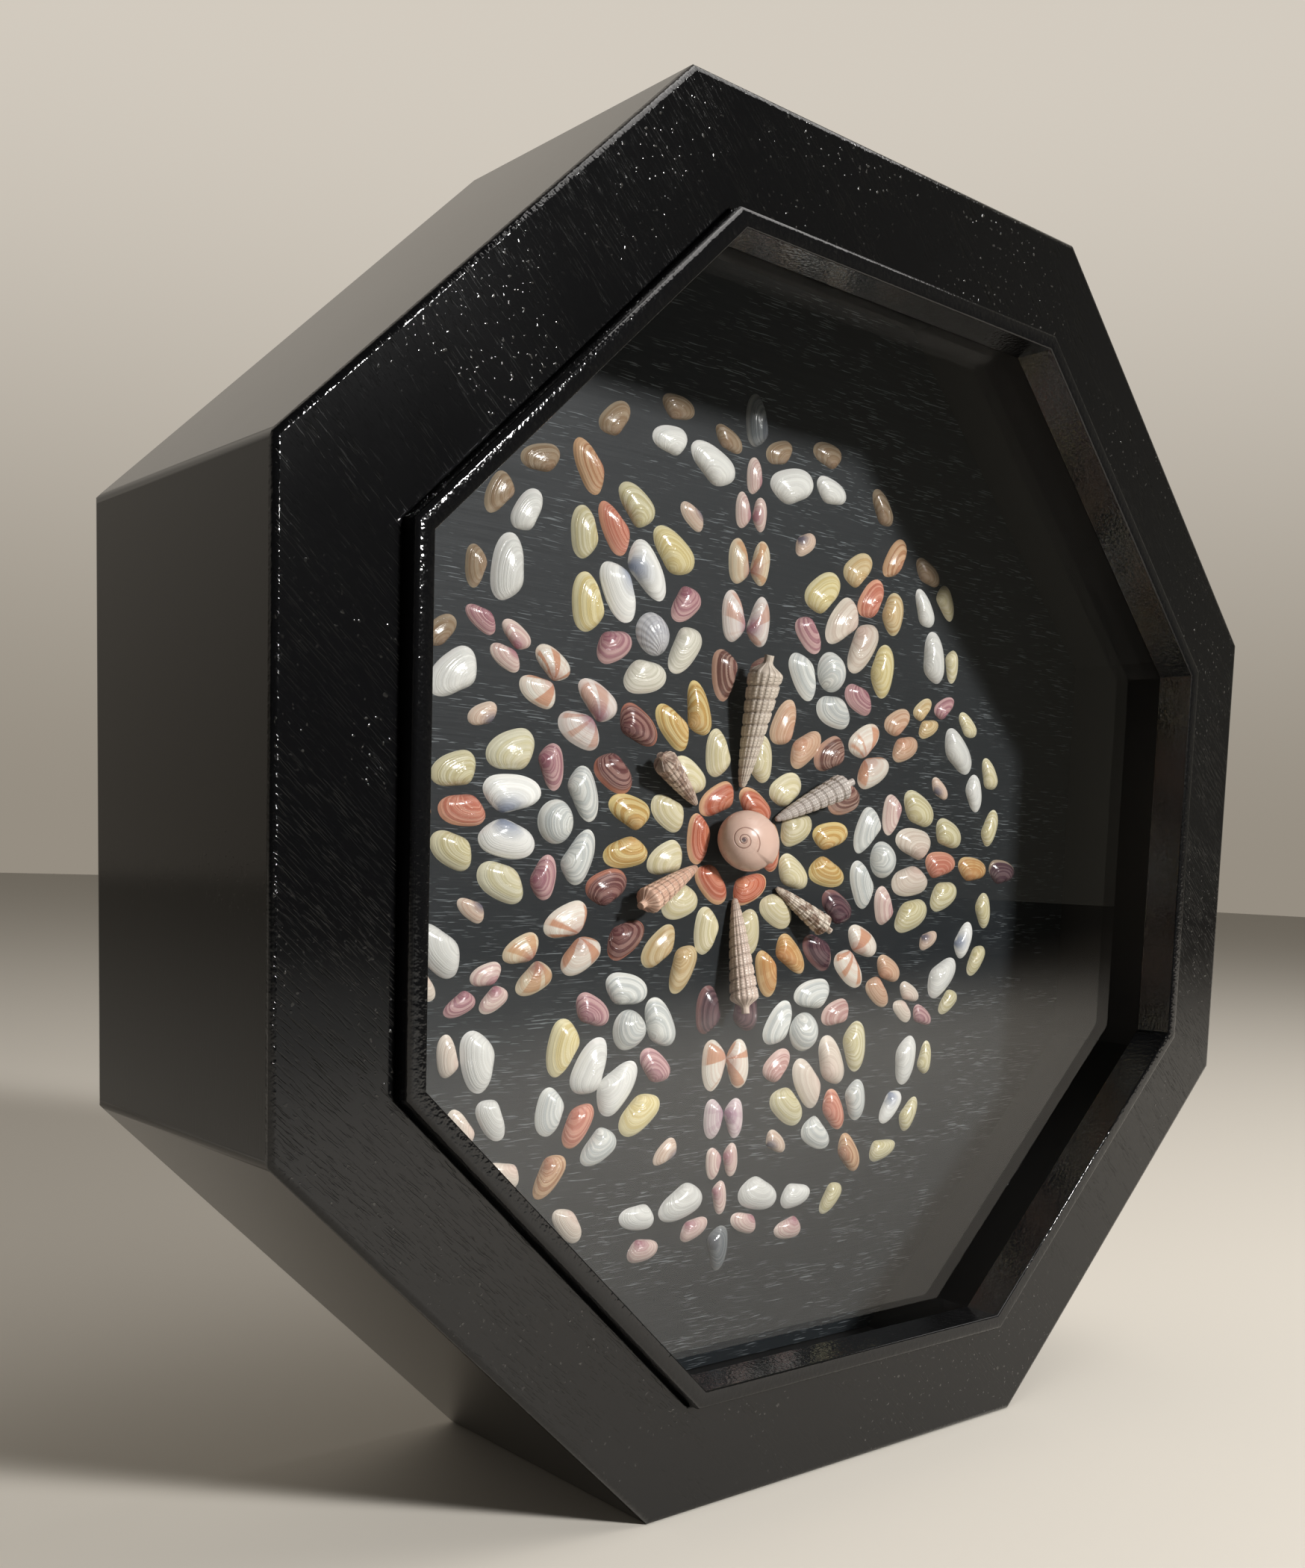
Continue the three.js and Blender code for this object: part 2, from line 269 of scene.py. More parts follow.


# the map follows the grain: along each board, slanting on the face; three more layers say where the grain
# is open, what faces inwards behind the glass (painted shade), and which edges are softened at the front
def layGrain(ring, faceGrainTurn, sideOpenness, boardShift):
    grain = ring.loops.layers.uv.new("grain")
    openness = ring.loops.layers.float.new("openness")
    inside = ring.loops.layers.float.new("inside")
    eased = ring.loops.layers.float.new("eased")
    slant = math.radians(faceGrainTurn)
    for face in ring.faces:
        nearest = flatOf(face.calc_center_median())[1]
        shift = boardShift * nearest
        onFace = face.normal.y < -0.75
        middle = face.calc_center_median()
        inwards = face.normal.x * middle.x + face.normal.z * (middle.z - axisHeight) < 0
        for loop in face.loops:
            point = loop.vert.co
            loop[openness] = 1.0 if onFace else sideOpenness
            loop[inside] = 1.0 if inwards and middle.y > -30 * millimetre else 0.0
            loop[eased] = 1.0 if -0.995 < face.normal.y < -0.1 else 0.0
            across, up = point.x, point.z - axisHeight
            along = up * math.cos(nearest) - across * math.sin(nearest)
            out = across * math.cos(nearest) + up * math.sin(nearest)
            if onFace:
                loop[grain].uv = (across * math.cos(slant) + up * math.sin(slant),
                                  up * math.cos(slant) - across * math.sin(slant))
            elif abs(face.normal.y) > 0.75:
                loop[grain].uv = (along + shift, out)
            else:
                loop[grain].uv = (along + shift, point.y + shift)
        face.smooth = face.calc_area() < 400 * millimetre ** 2  # the narrow faces of softened edges


def makeCasePaint(settings):
    paint = Finish("blackPaintOnOpenWood", {"Specular IOR Level": 0.5})
    grain = paint.node("ShaderNodeUVMap", {"uv_map": "grain"})
    place = paint.place()
    openness = paint.attribute("openness", 2)
    inside = paint.attribute("inside", 2)
    pores = paint.step(paint.noise(paint.stretched(grain, settings["pores"]), 1.0, 2.0, 0.6), 0.54, 0.64)
    coarse = paint.step(paint.noise(paint.stretched(grain, settings["coarsePores"]), 1.0, 2.0), 0.40, 0.62)
    pits = pores * (0.3 + 0.7 * coarse) * openness
    cloud = paint.noise(place, settings["clouds"], 3.0)
    dust = paint.noise(place, settings["specks"], 1.0)
    specks = paint.step(dust, 0.66, 0.74) * paint.step(cloud, 0.42, 0.6) * openness
    nibs = paint.noise(place, settings["nibs"], 1.0) * paint.attribute("eased", 2)
    colour = paint.mix(pits, settings["paint"], settings["pore"])
    # dust specks, lightened as painted glints as well
    colour = paint.mix(specks * 0.5, colour, settings["dust"])
    # painted shade: the inner walls behind the glass are darkened nearly to black
    colour = paint.mix(inside * 0.8, colour, settings["unlit"])
    waves = paint.noise(place, settings["waves"], 2.0)
    height = 0.06 * waves + 0.3 * cloud - pits + 1.5 * specks + 4.0 * nibs
    roughness = settings["gloss"] + 0.05 * cloud + 0.05 * pits + 0.5 * inside
    return paint.finishWith(Base_Color=colour, Roughness=roughness,
                            Normal=paint.bump(height, settings["relief"], 0.6))


def buildCase(settings):
    ring = octagonRing(settings["section"])
    easeEdges(ring, settings["frontEase"], 3, runsRound(152.5, -38.95))
    easeEdges(ring, settings["rearEase"], 4, runsRound(152.5, 43.05))
    easeEdges(ring, settings["openingEase"], 2, runsRound(127.5, -38.95))
    easeEdges(ring, settings["cornerEase"], 3, runsDeep(152.5))
    bmesh.ops.recalc_face_normals(ring, faces=ring.faces[:])
    ring.normal_update()
    layGrain(ring, settings["faceGrainTurn"], settings["sideOpenness"], settings["boardShift"])
    nodes = ["face_panel"] + [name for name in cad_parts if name.startswith("side_")]
    return makePiece("paintedCase", ring, makeCasePaint(settings), nodes)


buildCase(caseSettings)
print("case built")


# lip round the glass
lipSettings = {
    "section": [(123.2, -43.05), (127.2, -43.05), (127.2, -32.55), (123.2, -32.55)],
    "outerEase": 1.1,
    "innerEase": 0.35,
    "paint": linear(12, 12, 13),
    "dust": linear(38, 37, 36),
    "gloss": 0.05,
    "waves": 60.0,
    "specks": 700.0,
    "nibs": 1100.0,
    "relief": 0.0001,
}


def makeLipPaint(settings):
    paint = Finish("glossBlackPaint", {"Specular IOR Level": 0.5})
    place = paint.place()
    wave = paint.noise(place, settings["waves"], 2.0)
    dust = paint.noise(place, settings["specks"], 2.0)
    nibs = paint.noise(place, settings["nibs"], 1.0)
    colour = paint.mix(paint.step(dust, 0.62, 0.8) * 0.4, settings["paint"], settings["dust"])
    return paint.finishWith(Base_Color=colour, Roughness=settings["gloss"] + 0.06 * dust,
                            Normal=paint.bump(wave + 1.2 * nibs, settings["relief"], 0.8))


def buildLip(settings):
    ring = octagonRing(settings["section"])
    easeEdges(ring, settings["outerEase"], 4, runsRound(127.2, -43.05))
    easeEdges(ring, settings["innerEase"], 2, runsRound(123.2, -43.05))
    bmesh.ops.recalc_face_normals(ring, faces=ring.faces[:])
    nodes = [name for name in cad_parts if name.startswith("lip_")]
    for face in ring.faces:
        face.smooth = face.calc_area() < 400 * millimetre ** 2
    return makePiece("glassLip", ring, makeLipPaint(settings), nodes)


buildLip(lipSettings)
print("lip built")


# glass
glassSettings = {
    "mirror": 0.04,  # how much of the room it sends back; the rest is seen through it
    "tint": (1.0, 1.0, 1.0, 1.0),
}


def finishGlass(settings):
    glass = Finish("pictureGlass", {"Base Color": settings["tint"], "Metallic": 1.0, "Roughness": 0.0,
                                    "Alpha": settings["mirror"]})
    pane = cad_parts["glass_pane"]
    pane.data.materials.clear()
    pane.data.materials.append(glass.material)


finishGlass(glassSettings)
print("glass finished")


# board that the shells are glued on
boardSettings = {
    "flat": 140.2,
    "front": 10.05,
    "thickness": 6.0,
    "paint": linear(19, 25, 29),
    "deep": linear(11, 15, 18),
    "streak": linear(108, 114, 117),
    "grain": (170, 170, 3800),  # counts a metre, across, deep and up
    "fibres": (40, 40, 1400),
    "patches": (60, 60, 160),
    "wavering": 45.0,
    "waverHeight": 0.0016,
    "relief": 0.00008,
}


def makeBoardPaint(settings):
    paint = Finish("thinBlackPaintOnBoard", {"Specular IOR Level": 0.3})
    place = paint.place()
    waver = paint.noise(place, settings["wavering"], 2.0)
    wavy = paint.node("ShaderNodeVectorMath", {"operation": "ADD"},
                      {0: place, 1: paint.stretched(waver, (0, 0, settings["waverHeight"]))})
    grain = paint.noise(paint.stretched(wavy, settings["grain"]), 1.0, 1.0, 0.5)
    patches = paint.noise(paint.stretched(place, settings["patches"]), 1.0, 2.0)
    streaks = paint.step(grain, 0.635, 0.675) * paint.step(patches, 0.38, 0.60)
    fibres = paint.noise(paint.stretched(wavy, settings["fibres"]), 1.0, 3.0, 0.6)
    colour = paint.mix(0.6 * fibres, settings["paint"], settings["deep"])
    colour = paint.mix(streaks * 0.8, colour, settings["streak"])
    height = 0.7 * fibres - 0.8 * streaks
    return paint.finishWith(Base_Color=colour, Roughness=0.44 + 0.2 * fibres,
                            Normal=paint.bump(height, settings["relief"], 0.6))


def buildBoard(settings):
    board = bmesh.new()
    flat = settings["flat"] * millimetre
    bmesh.ops.create_circle(board, cap_ends=True, segments=8, radius=flat / math.cos(halfCorner),
                            matrix=Matrix.Rotation(halfCorner, 4, "Z"))
    lifted = bmesh.ops.extrude_face_region(board, geom=board.faces[:])
    bmesh.ops.translate(board, vec=(0, 0, settings["thickness"] * millimetre),
                        verts=[item for item in lifted["geom"] if isinstance(item, bmesh.types.BMVert)])
    back = (settings["front"] + settings["thickness"]) * millimetre
    standing = Matrix.Translation((0, back, axisHeight)) @ Matrix.Rotation(math.pi / 2, 4, "X")
    bmesh.ops.transform(board, verts=board.verts[:], matrix=standing)
    bmesh.ops.recalc_face_normals(board, faces=board.faces[:])
    return makePiece("backBoard", board, makeBoardPaint(settings), ["shell_board"])


buildBoard(boardSettings)
print("board built")


# rosette: laid by the same steps as the solids, so that each shell lies on its own
rosette = {
    "across": -1.6,
    "up": -1.9,
    "narrow": 0.97,
    "petalArms": [-2.2, 54.3, 120.5, 176.9, 234.7, 300.2],
    "rayArms": [27.2, 88.5, 149.5, 204.9, 269.8, 328.9],
    "unevenOut": 0.5,  # how far a shell strays along its arm, beside it, in degrees and in size
    "unevenSide": 0.3,
    "unevenTurn": 4,
    "unevenSize": 0.04,
}
# a coquina from above, in half lengths and half breadths: from the full end past the corner of the
# hinge to the narrow end, and back along the open edge
coquinaOutline = [(1.02, -0.25), (0.84, 0.46), (0.42, 1.1), (-0.12, 0.92), (-0.66, 0.68), (-1, 0.12),
                  (-0.88, -0.58), (-0.4, -0.98), (0.2, -1.04), (0.78, -0.88)]
# arms, out, side, turn, long, broad, hinge, and the look of the shells on each of its arms
courses = [
    ("petal", 12.7, 0, 92, 13.2, 7.5, -1, "coral"),
    ("petal", 23, 6, 210, 12.4, 7.9, 1, "lemon lemon lemon lemon lemon lemon"),
    ("petal", 36.2, 5, 192, 14, 7.4, -1, "gold peach gold gold honey amber"),
    ("ray", 42.5, 6.9, 4, 13.2, 8, 1, "brown brown rose rose plum plum"),
    ("petal", 50.5, 7.3, 66, 14, 8.2, 1, "pearl pearl ivory pearl pearl pearl"),
    ("petal", 58.3, 0, 0, 11, 10.8, 0, "pearl pearl ribbed pearl pearl pearl"),
    ("petal", 60.5, 12.6, 82, 11.6, 7, 1, "shellPink mauve mauve mauve mauve dusty"),
    ("petal", 71.4, 5.3, 356, 16, 8.7, 1, "blush blush stained stained white blush"),
    ("petal", 72.6, 15.2, 158, 14.8, 8.6, -1, "lime lemonDeep lemonDeep cream lemonDeep lime"),
    ("petal", 84.8, 0, 180, 13.4, 7.3, 1, "salmon salmon salmon salmon salmon salmon"),
    ("petal", 87, 8.9, 155, 12.6, 7.8, -1, "lime honey lime lime pearl pearl"),
    ("petal", 99.4, 0, 180, 13.4, 6.8, 1, "amber russet russet russet russet russet"),
    ("petal03", 81, 22, 149, 8.6, 4.7, -1, "blotched blotched"),
    ("ray14", 79.6, 20.2, 232, 9, 5, -1, "blotched blotched"),
    ("ray", 57.3, 4.5, 186, 13.6, 7.6, -1, "rayed rayedMauve rayedMauve rayed rayed rayed"),
    ("ray", 71.8, 3.9, 184, 11.4, 6.5, -1, "peach peachRayed rayed peachRayed lilac peach"),
    ("ray", 83.7, 3.1, 184, 9.3, 5, -1, "honey shellPink shellPink shellPink shellPink blush"),
    ("ray", 93, 0, 180, 9.5, 5, 1, "mauve shellPink mauve mauve shellPink mauve"),
    ("ray", 93.2, 14.4, 251, 15.6, 8.5, 1, "white"),
    ("ray", 95.4, 28.7, 278, 11.8, 6.6, 1, "white white white white white stained"),
    ("ray", 100.4, 9, 66, 10.1, 5.5, -1, "lemon tan tan blush shellPink lime"),
    ("ray", 104.1, 26.2, 88, 11, 6.1, -1, "lemon tan tan blush shellPink lime"),
    ("petal", 106.2, 12.5, 255, 11.5, 6.2, 1, "lime tan tan shellPink blush lime"),
    ("petal03", 113.8, 0, 180, 13, 7.2, 1, "purple purple"),
    ("ray14", 107, 0, 180, 13, 7.1, 1, "slate slate"),
]
# tone, growth bands and rays, rim, hinge; then how strong bands, rays and the hinge's stain are
looks = {
    "coral": ((202, 136, 115), (176, 92, 68), (232, 197, 158), (206, 140, 108), 0.9, 0.1, 0.6),
    "lemon": ((213, 206, 178), (194, 184, 142), (226, 221, 192), (205, 198, 166), 0.7, 0.0, 0.4),
    "gold": ((206, 186, 134), (182, 146, 84), (222, 204, 146), (196, 156, 106), 0.9, 0.0, 0.5),
    "honey": ((204, 187, 152), (180, 152, 104), (216, 203, 166), (200, 172, 130), 0.7, 0.1, 0.5),
    "amber": ((205, 172, 124), (182, 132, 82), (216, 189, 144), (192, 134, 92), 0.8, 0.4, 0.5),
    "peach": ((204, 175, 152), (180, 136, 106), (216, 192, 167), (194, 140, 116), 0.6, 0.1, 0.5),
    "brown": ((160, 133, 121), (100, 68, 62), (196, 158, 138), (128, 88, 84), 0.95, 0.1, 0.5),
    "rose": ((146, 112, 106), (96, 60, 60), (184, 124, 104), (110, 70, 74), 0.95, 0.1, 0.5),
    "plum": ((104, 79, 84), (64, 42, 52), (144, 107, 105), (84, 56, 68), 0.8, 0.2, 0.5),
    "pearl": ((209, 212, 209), (176, 182, 182), (224, 226, 221), (214, 214, 206), 0.8, 0.0, 0.3),
    "ivory": ((212, 210, 199), (184, 182, 166), (224, 222, 212), (216, 212, 200), 0.7, 0.0, 0.3),
    "ribbed": ((199, 200, 204), (170, 172, 180), (216, 216, 218), (206, 204, 206), 0.4, 0.0, 0.2),
    "mauve": ((190, 156, 156), (150, 104, 114), (206, 172, 171), (136, 82, 100), 0.85, 0.0, 0.6),
    "dusty": ((200, 171, 165), (168, 122, 118), (216, 191, 182), (176, 124, 126), 0.75, 0.0, 0.5),
    "shellPink": ((210, 192, 183), (182, 146, 144), (222, 207, 197), (150, 92, 110), 0.6, 0.1, 0.8),
    "blush": ((212, 202, 190), (186, 168, 154), (218, 210, 198), (198, 168, 158), 0.5, 0.0, 0.5),
    "white": ((216, 217, 213), (196, 197, 194), (226, 226, 223), (206, 206, 202), 0.5, 0.0, 0.3),
    "stained": ((228, 229, 226), (200, 201, 198), (230, 230, 226), (104, 118, 146), 0.4, 0.0, 0.8),
    "cream": ((208, 205, 181), (186, 178, 138), (218, 215, 193), (202, 190, 158), 0.6, 0.0, 0.4),
    "lemonDeep": ((219, 209, 166), (200, 182, 122), (226, 219, 182), (202, 188, 138), 0.7, 0.0, 0.4),
    "lime": ((208, 203, 174), (184, 175, 134), (220, 215, 186), (190, 180, 134), 0.8, 0.0, 0.4),
    "salmon": ((206, 150, 130), (178, 106, 88), (220, 168, 142), (186, 112, 98), 0.8, 0.1, 0.5),
    "russet": ((202, 170, 138), (164, 118, 86), (210, 176, 141), (168, 112, 92), 0.8, 0.1, 0.6),
    "blotched": ((204, 186, 170), (182, 150, 134), (216, 201, 186), (76, 78, 100), 0.5, 0.0, 0.9),
    "rayed": ((220, 215, 205), (188, 128, 92), (224, 216, 202), (170, 116, 104), 0.2, 0.8, 0.5),
    "rayedMauve": ((216, 209, 204), (186, 140, 120), (222, 215, 209), (136, 88, 108), 0.2, 0.7, 0.8),
    "peachRayed": ((210, 197, 173), (186, 138, 96), (220, 207, 181), (150, 96, 96), 0.3, 0.7, 0.7),
    "lilac": ((206, 193, 194), (172, 138, 152), (218, 206, 206), (136, 92, 120), 0.4, 0.3, 0.8),
    "tan": ((152, 137, 117), (124, 100, 76), (170, 155, 133), (132, 104, 82), 0.6, 0.1, 0.5),
    "purple": ((104, 86, 89), (70, 48, 58), (184, 167, 145), (84, 60, 70), 0.8, 0.1, 0.5),
    "slate": ((117, 122, 124), (88, 94, 100), (140, 142, 140), (74, 78, 90), 0.7, 0.0, 0.6),
}
armSets = {
    "petal": rosette["petalArms"],
    "ray": rosette["rayArms"],
    "petal03": [rosette["petalArms"][0], rosette["petalArms"][3]],
    "ray14": [rosette["rayArms"][1], rosette["rayArms"][4]],
}


def unevenness(number):  # steady small differences between hand-laid shells, from -1 to 1
    wave = math.sin(number * 12.9898) * 43758.5453
    return 2 * (wave - math.floor(wave)) - 1


def onRosette(out, side, direction):
    across = out * math.cos(direction) + side * math.sin(direction)
    up = out * math.sin(direction) - side * math.cos(direction)
    return rosette["across"] + rosette["narrow"] * across, rosette["up"] + up


def onBoard(x, y, angle):  # a frame on the board's surface: x along the angle, z towards the glass
    right, up = math.cos(angle), math.sin(angle)
    turned = Matrix(((right, -up, 0), (0, 0, -1), (up, right, 0)))
    return Matrix.Translation((x * millimetre, boardSettings["front"] * millimetre,
                               axisHeight + y * millimetre)) @ turned.to_4x4()


def placedShells():  # one list of shells for each course
    placed = []
    number = 0
    for arms, out, side, turn, long, broad, hinge, names in courses:
        names = names.split() * (6 if " " not in names else 1)
        course = []
        for arm, look in zip(armSets[arms], names):
            for mirror in ([1, -1] if side else [1]):
                number += 1
                direction = math.radians(arm)
                shellOut = out + rosette["unevenOut"] * unevenness(number)
                shellSide = mirror * side + rosette["unevenSide"] * unevenness(number + 0.3)
                x, y = onRosette(shellOut, shellSide, direction)
                strayed = math.radians(rosette["unevenTurn"]) * unevenness(number + 0.6)
                course.append({
                    "x": x, "y": y, "mirror": mirror, "hinge": hinge, "look": look, "number": number,
                    "angle": direction - mirror * math.radians(turn) + strayed,
                    "long": long * (1 + rosette["unevenSize"] * unevenness(number + 0.8)),
                    "broad": broad * (1 + rosette["unevenSize"] * unevenness(number + 0.9)),
                })
        placed.append(course)
    return placed


def outlinePoint(turn, isRound):  # the outline at any angle, as a smooth curve through its points
    if isRound:
        return Vector((math.cos(turn), math.sin(turn)))
    count = len(coquinaOutline)
    step = (turn / (2 * math.pi) * count) % count
    first, share = int(step), step - int(step)
    before, here, there, after = (Vector(coquinaOutline[(first + k) % count]) for k in (-1, 0, 1, 2))
    return (2 * here + (there - before) * share + (2 * before - 5 * here + 4 * there - after) * share ** 2
            + (3 * here - before - 3 * there + after) * share ** 3) / 2


def growthAt(point, umbo, outline):  # the way from the umbo to a point, 1 long at the far outline
    way = point - umbo
    furthest = 0.0
    for start, end in zip(outline, outline[1:] + outline[:1]):
        edge, gap = end - start, start - umbo
        across = way.x * edge.y - way.y * edge.x
        if abs(across) < 1e-9:
            continue
        share = (gap.x * edge.y - gap.y * edge.x) / across
        onEdge = (gap.x * way.y - gap.y * way.x) / across
        if -1e-4 < onEdge < 1.0001:
            furthest = max(furthest, share)
    return way.normalized() / max(1.0, furthest)


def addValve(course, layers, shell, settings):
    sides = settings["sides"]
    globe = bmesh.ops.create_uvsphere(course, u_segments=sides, v_segments=settings["rings"], radius=1)
    made = globe["verts"]
    bmesh.ops.delete(course, geom=[vert for vert in made if vert.co.z < -0.2], context="VERTS")
    made = [vert for vert in made if vert.is_valid]
    isRound = shell["hinge"] == 0
    umbo = Vector(settings["roundUmbo"] if isRound else settings["umbo"])
    crown = Vector((0, 0) if isRound else settings["crown"])
    outline = [outlinePoint(2 * math.pi * side / sides, isRound) for side in range(sides)]
    flip = shell["mirror"] * (shell["hinge"] or 1)
    slide = settings["slide"] * unevenness(shell["number"] + 0.2)
    taper = settings["taper"] * unevenness(shell["number"] + 0.5)
    look = looks[shell["look"]]
    shade = 1 + settings["unevenTone"] * unevenness(shell["number"] + 0.4)
    for vert in made:
        reach = min(1.0, math.hypot(vert.co.x, vert.co.y))
        flat = crown + (outlinePoint(math.atan2(vert.co.y, vert.co.x), isRound) - crown) * reach
        grown = growthAt(flat, umbo, outline)
        height = -settings["bedded"]
        if reach < 0.999:
            height = shell["broad"] * settings["dome"] * (1 - reach ** 2.2) ** 0.75
        vert[layers["grow"]] = (grown.x, grown.y, 0)
        for key, colour in zip(("tone", "mark", "rim", "hinge"), look):
            vert[layers[key]] = [min(1, part * shade) for part in linear(*colour)[:3]] + [1]
        vert[layers["marking"]] = look[4:7]
        vert[layers["seed"]] = shell["number"] * 0.731 % 1
        vert[layers["ribbed"]] = 1.0 if shell["look"] == "ribbed" else 0.0
        x = flat.x + slide * (1 + flat.y) / 2 * (1 - flat.x ** 2)
        y = flat.y * (1 + taper * flat.x) * flip
        vert.co = (x * shell["long"] / 2, y * shell["broad"] / 2, height)
    if flip < 0:
        bmesh.ops.reverse_faces(course, faces=list({face for vert in made for face in vert.link_faces}))
    bmesh.ops.transform(course, verts=made, matrix=onBoard(shell["x"], shell["y"], shell["angle"])
                        @ Matrix.Diagonal((millimetre, millimetre, millimetre, 1)))


valveSettings = {
    "sides": 20,
    "rings": 6,
    "dome": 0.31,
    "bedded": 0.25,
    "umbo": (0.43, 1.18),
    "roundUmbo": (-1.08, 0.1),
    "crown": (0.2, 0.28),
    "slide": 0.16,
    "taper": 0.1,
    "gloss": 0.10,
    "unevenTone": 0.07,
    "smoothing": 1,
    "bands": 8.0,  # noise counts from the umbo to the edge
    "lines": 26.0,
    "rays": 1.9,  # noise counts a radian
    "ribs": 34.0,
    "wavering": 300.0,
    "mottling": 650.0,
    "relief": 0.00005,
}


def makeValveFinish(settings):
    shell = Finish("glossyCoquina", {"Specular IOR Level": 0.6})
    across, down, _ = shell.split(shell.attribute("grow", 1))
    reach = shell.maths("SQRT", across * across + down * down)
    angle = shell.maths("ARCTAN2", down, across)
    bandStrength, rayStrength, stainStrength = shell.split(shell.attribute("marking", 1))
    seed = shell.attribute("seed", 2)
    place = shell.place()
    waver = 0.03 * shell.noise(place, settings["wavering"], 2.0)
    growth = shell.ripple((reach + waver) * settings["bands"] + seed * 37.0, 2.0)
    bands = shell.step(growth, 0.44, 0.56)
    rays = shell.step(shell.ripple(angle * settings["rays"] + seed * 23.0, 1.0), 0.50, 0.56)
    lines = shell.step(shell.ripple((reach + waver) * settings["lines"] + seed * 11.0, 1.0), 0.40, 0.60)
    stain = (1.0 - shell.step(reach, 0.12, 0.66)) * stainStrength
    colour = shell.mix(bands * bandStrength, shell.attribute("tone"), shell.attribute("mark"))
    colour = shell.mix(rays * rayStrength, colour, shell.attribute("mark"))
    colour = shell.mix(stain, colour, shell.attribute("hinge"))
    colour = shell.mix(shell.step(reach + waver, 0.90, 0.96) * 0.7, colour, shell.attribute("rim"))
    colour = shell.mix(0.5 * lines * bandStrength, colour, (0.72, 0.68, 0.64, 1), "MULTIPLY")
    ribs = (0.5 + 0.5 * shell.maths("COSINE", angle * settings["ribs"])) * shell.attribute("ribbed", 2)
    colour = shell.mix(0.5 * ribs, colour, (0.6, 0.6, 0.62, 1), "MULTIPLY")
    mottle = shell.noise(place, settings["mottling"], 3.0)
    colour = shell.mix(0.4 * mottle, colour, (0.9, 0.88, 0.86, 1), "MULTIPLY")
    height = 0.5 * lines + 0.15 * mottle + 0.7 * growth + 2.0 * ribs
    return shell.finishWith(Base_Color=colour, Roughness=settings["gloss"] + 0.1 * mottle,
                            Normal=shell.bump(height, settings["relief"], 0.8))


def buildValves(settings):
    finish = makeValveFinish(settings)
    for index, shells in enumerate(placedShells()):
        course = bmesh.new()
        verts = course.verts.layers
        layers = {key: verts.float_color.new(key) for key in ("tone", "mark", "rim", "hinge")}
        layers.update({key: verts.float_vector.new(key) for key in ("grow", "marking")})
        layers.update({key: verts.float.new(key) for key in ("seed", "ribbed")})
        for shell in shells:
            addValve(course, layers, shell, settings)
        for face in course.faces:
            face.smooth = True
        piece = makePiece(f"valves_{index + 1:02d}", course, finish, ["shell_board"])
        addSubdivision(piece, settings["smoothing"])


buildValves(valveSettings)
print("valves laid")


# augers
augerSettings = {
    "sides": 96,
    "rings": 150,
    "spire": 0.86,
    "swell": 0.58,
    "apex": 0.10,
    "crowding": 1.35,
    "lift": 2.4,
    "rest": 0.35,
    "ribs": 16,
    "ribHeight": 0.016,
    "cords": 4,  # on each whorl
    "step": 0.15,
    "mouth": 0.72,
    "suture": (0.2, 0.15, 0.12, 1),
    "blotches": 420.0,
    "grit": 1500.0,
    "relief": 0.00018,
}
# direction, tip, end, girth, whorls, light tone, brown tone, how much brown shows
augers = {
    "auger_right_upper": (26.6, 15.5, 41.5, 7.1, 11, (212, 204, 197), (138, 124, 118), 0.3),
    "auger_top": (86.9, 14.6, 48.6, 8.9, 11, (216, 204, 190), (146, 130, 114), 0.25),
    "auger_left_upper": (146.5, 17.3, 38.0, 6.4, 9, (214, 194, 178), (124, 96, 82), 0.8),
    "auger_left_lower": (204.0, 15.0, 40.0, 6.9, 10, (226, 192, 170), (178, 130, 108), 0.4),
    "auger_bottom": (269.8, 13.8, 44.0, 7.5, 11, (220, 202, 188), (158, 132, 118), 0.25),
    "auger_right_lower": (324.5, 18.8, 39.0, 6.1, 10, (226, 214, 198), (116, 86, 66), 0.85),
}


def makeAugerFinish(settings):
    shell = Finish("ribbedSpire", {"Specular IOR Level": 0.45})
    cosine, sine, whorl = shell.split(shell.attribute("coil", 1))
    angle = shell.maths("ARCTAN2", sine, cosine)
    along = whorl - angle / (2 * math.pi)
    ribs = 0.5 + 0.5 * shell.maths("COSINE", angle * settings["ribs"])
    cords = 0.5 + 0.5 * shell.maths("COSINE", along * (2 * math.pi * settings["cords"]))
    within = shell.maths("FRACT", along)
    beside = shell.maths("MINIMUM", within, 1.0 - within)
    suture = 1.0 - shell.step(beside, 0.02, 0.09)
    place = shell.place()
    blotch = shell.step(shell.noise(place, settings["blotches"], 3.0), 0.46, 0.60)
    raised = shell.step(ribs, 0.1, 0.6) * shell.step(cords, 0.0, 0.3)
    brown = blotch * shell.attribute("brownness", 2)
    colour = shell.mix(brown, shell.attribute("tone"), shell.attribute("mark"))
    # painted shade: the low ground between ribs and cords is darkened towards the brown tone
    colour = shell.mix((1.0 - raised) * 0.4, colour, shell.attribute("mark"))
    colour = shell.mix(suture * 0.6, colour, settings["suture"])
    height = raised + 0.15 * shell.noise(place, settings["grit"], 2.0)
    return shell.finishWith(Base_Color=colour, Roughness=0.34 + 0.2 * (1.0 - raised),
                            Normal=shell.bump(height, settings["relief"], 0.8))


